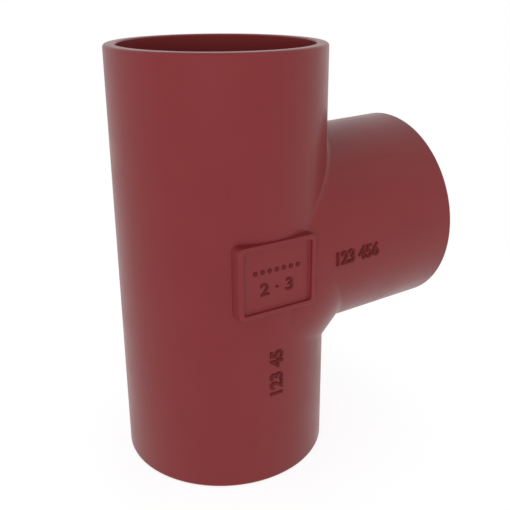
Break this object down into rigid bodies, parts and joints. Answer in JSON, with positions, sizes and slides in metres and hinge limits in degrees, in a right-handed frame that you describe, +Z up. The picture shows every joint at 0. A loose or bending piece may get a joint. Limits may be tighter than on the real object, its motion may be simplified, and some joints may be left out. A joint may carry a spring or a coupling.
{
  "type": "pipe branch",
  "caption": "Cast-iron drain pipe branch with plain ends: a straight run, an equal side branch almost square to it with a filled throat, and a sunk marking plate.",
  "frame": {"origin": "centre of the run's lower rim, which the branch stands on", "axes": "+Z up the run, +X towards the side branch, -Y towards the marking plate"},
  "size_m": [0.1718, 0.1118, 0.22],
  "materials": {
    "casting": "satin red-brown primer on cast iron"
  },
  "bodies": {
    "root": {"branch_casting": "casting"}
  },
  "joints": []
}
